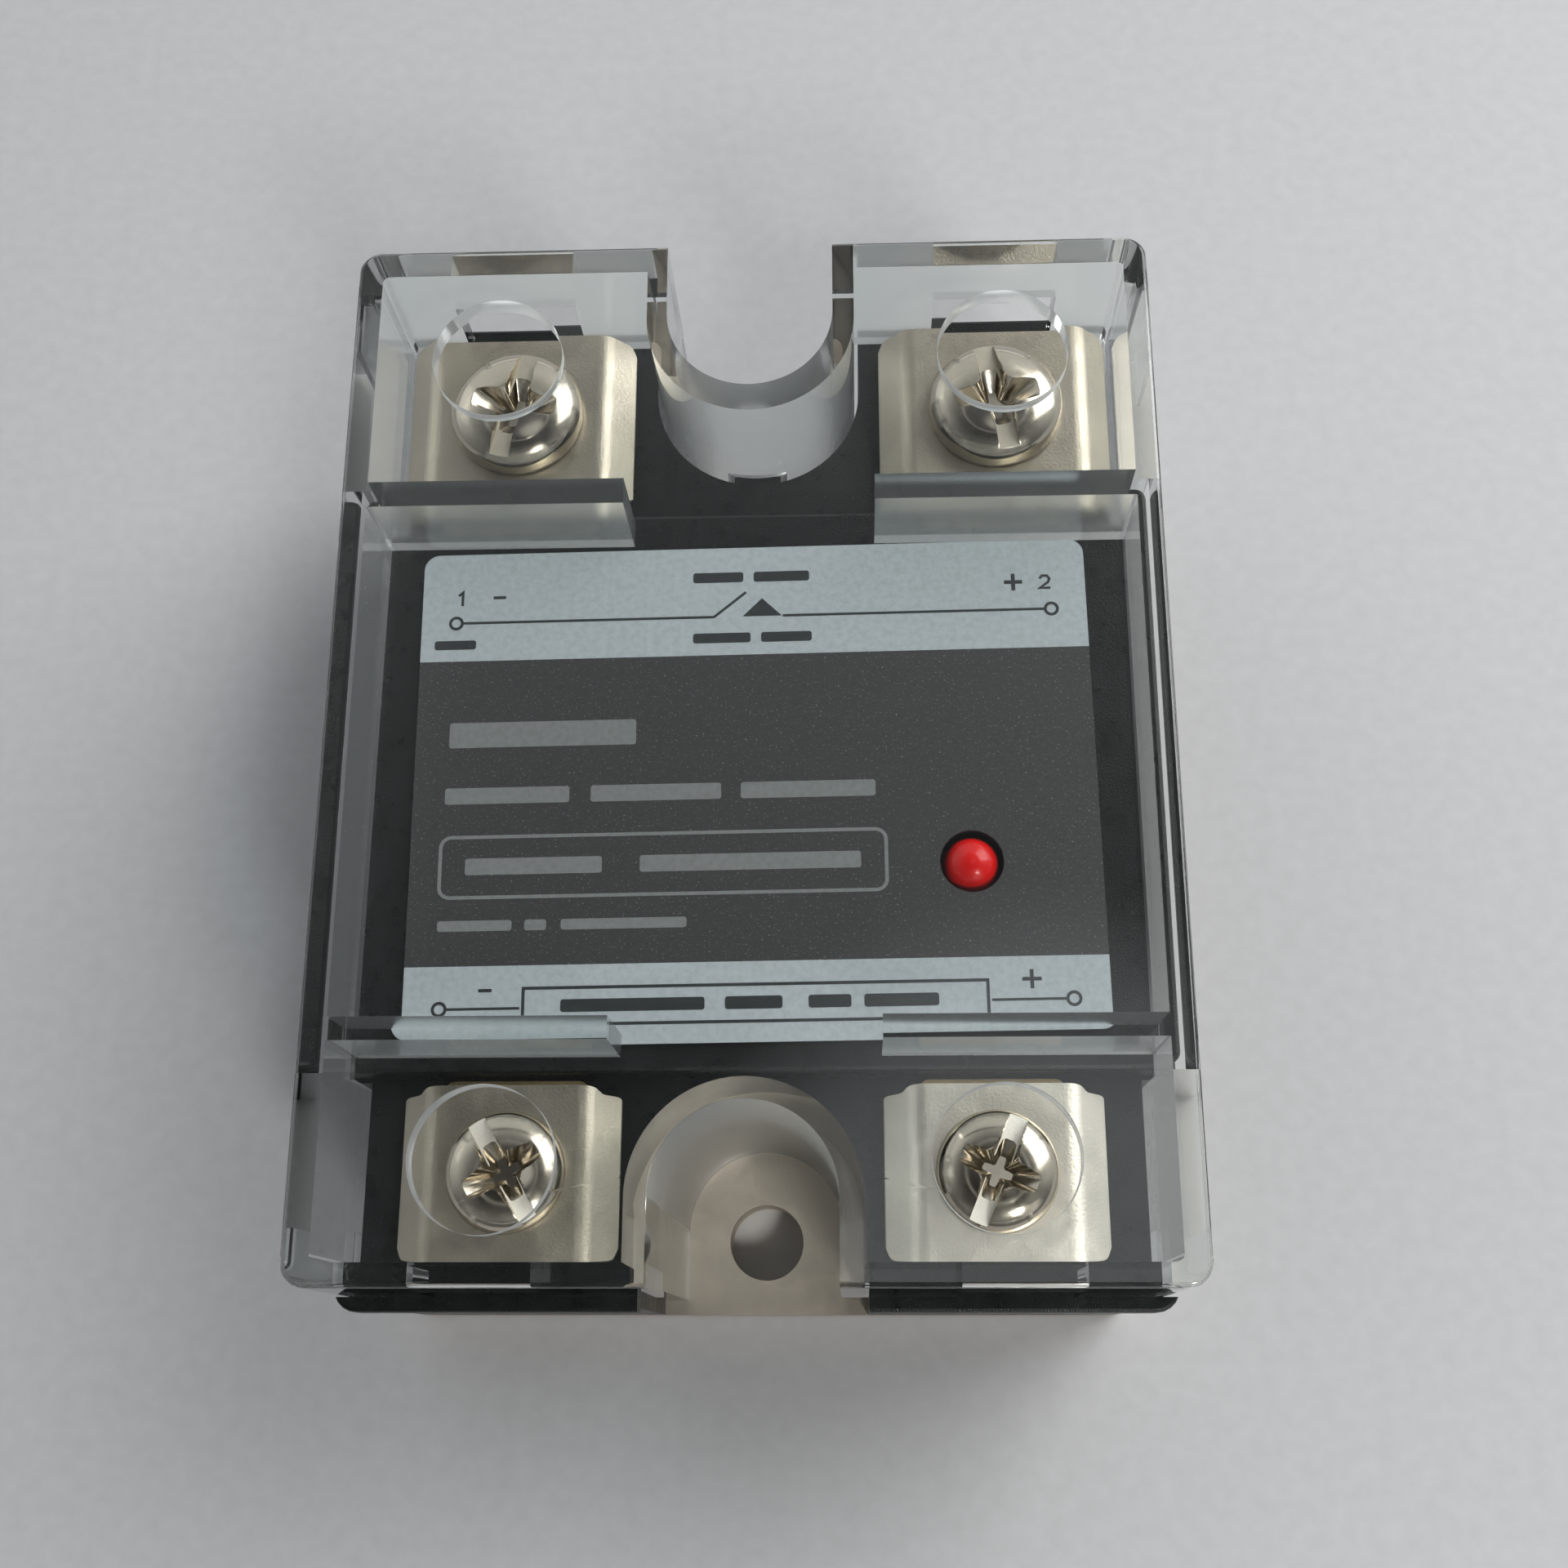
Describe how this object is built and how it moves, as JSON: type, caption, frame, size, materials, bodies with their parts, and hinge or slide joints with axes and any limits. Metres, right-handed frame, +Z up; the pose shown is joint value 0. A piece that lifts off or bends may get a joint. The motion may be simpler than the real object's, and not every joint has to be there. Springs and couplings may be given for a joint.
{
  "type": "solid state relay",
  "caption": "Panel mount solid state relay: a black body on a steel base plate, with screw terminals at both ends, a status lamp and a clear lift-off cover.",
  "frame": {"origin": "middle of the base plate's underside", "axes": "+Z up from the mounting surface, +Y towards the output terminals, +X to the right seen from the input end"},
  "size_m": [0.0452, 0.0594, 0.028],
  "materials": {
    "nickel_plate": "satin nickel plate on steel",
    "black_plastic": "fine spark-eroded texture",
    "clear_plastic": "clear polycarbonate, gloss",
    "label_film": "printed film, satin",
    "red_lens": "gloss, tinted",
    "brass": "satin",
    "copper": "satin",
    "tinned_wire": "satin",
    "board_green": "solder mask, satin",
    "ceramic": "matt white",
    "component_black": "matt",
    "component_beige": "satin",
    "capacitor_sleeve": "satin sleeve",
    "silicon": "polished"
  },
  "bodies": {
    "base": {"base_plate": "nickel_plate", "housing": "black_plastic", "label": "label_film", "lamp_lens": "red_lens", "lamp_lead_plus": "tinned_wire", "lamp_lead_minus": "tinned_wire", "circuit_board": "board_green", "optocoupler": "component_black", "driver_chip": "component_black", "input_resistor": "component_beige", "lamp_resistor": "component_beige", "gate_resistor": "component_beige", "input_diode": "component_black", "surge_diode": "component_black", "storage_capacitor": "capacitor_sleeve", "ceramic_plate": "ceramic", "copper_pad_left": "copper", "copper_pad_right": "copper", "transistor_chip_left": "silicon", "transistor_chip_right": "silicon", "bar_output_left": "brass", "bar_output_right": "brass", "bar_input_left": "brass", "bar_input_right": "brass", "nut_output_left": "nickel_plate", "nut_output_right": "nickel_plate", "nut_input_left": "nickel_plate", "nut_input_right": "nickel_plate"},
    "cover": {"cover": "clear_plastic"},
    "clamp_output_left": {"clamp_output_left": "nickel_plate"},
    "screw_output_left": {"screw_output_left": "nickel_plate"},
    "clamp_output_right": {"clamp_output_right": "nickel_plate"},
    "screw_output_right": {"screw_output_right": "nickel_plate"},
    "clamp_input_left": {"clamp_input_left": "nickel_plate"},
    "screw_input_left": {"screw_input_left": "nickel_plate"},
    "clamp_input_right": {"clamp_input_right": "nickel_plate"},
    "screw_input_right": {"screw_input_right": "nickel_plate"}
  },
  "joints": [
    {"name": "cover_lift", "type": "slide", "parent": "base", "child": "cover", "axis": [0, 0, 1], "range_m": [0, 0.03]},
    {"name": "clamp_lift_output_left", "type": "slide", "parent": "base", "child": "clamp_output_left", "axis": [0, 0, 1], "range_m": [0, 0.0035]},
    {"name": "screw_turn_output_left", "type": "hinge", "parent": "clamp_output_left", "child": "screw_output_left", "pos_m": [-0.0142, 0.0218, 0.0207], "axis": [0, 0, 1], "range_deg": [0, 1801]},
    {"name": "clamp_lift_output_right", "type": "slide", "parent": "base", "child": "clamp_output_right", "axis": [0, 0, 1], "range_m": [0, 0.0035]},
    {"name": "screw_turn_output_right", "type": "hinge", "parent": "clamp_output_right", "child": "screw_output_right", "pos_m": [0.0142, 0.0218, 0.0207], "axis": [0, 0, 1], "range_deg": [0, 1801]},
    {"name": "clamp_lift_input_left", "type": "slide", "parent": "base", "child": "clamp_input_left", "axis": [0, 0, 1], "range_m": [0, 0.003]},
    {"name": "screw_turn_input_left", "type": "hinge", "parent": "clamp_input_left", "child": "screw_input_left", "pos_m": [-0.0129, -0.0227, 0.0207], "axis": [0, 0, 1], "range_deg": [0, 1801]},
    {"name": "clamp_lift_input_right", "type": "slide", "parent": "base", "child": "clamp_input_right", "axis": [0, 0, 1], "range_m": [0, 0.003]},
    {"name": "screw_turn_input_right", "type": "hinge", "parent": "clamp_input_right", "child": "screw_input_right", "pos_m": [0.0129, -0.0227, 0.0207], "axis": [0, 0, 1], "range_deg": [0, 1801]}
  ],
  "couplings": [
    {"joint": "screw_turn_output_left", "follows": "clamp_lift_output_left", "rad_per_m": 8976},
    {"joint": "screw_turn_output_right", "follows": "clamp_lift_output_right", "rad_per_m": 8976},
    {"joint": "screw_turn_input_left", "follows": "clamp_lift_input_left", "rad_per_m": 10472},
    {"joint": "screw_turn_input_right", "follows": "clamp_lift_input_right", "rad_per_m": 10472}
  ]
}
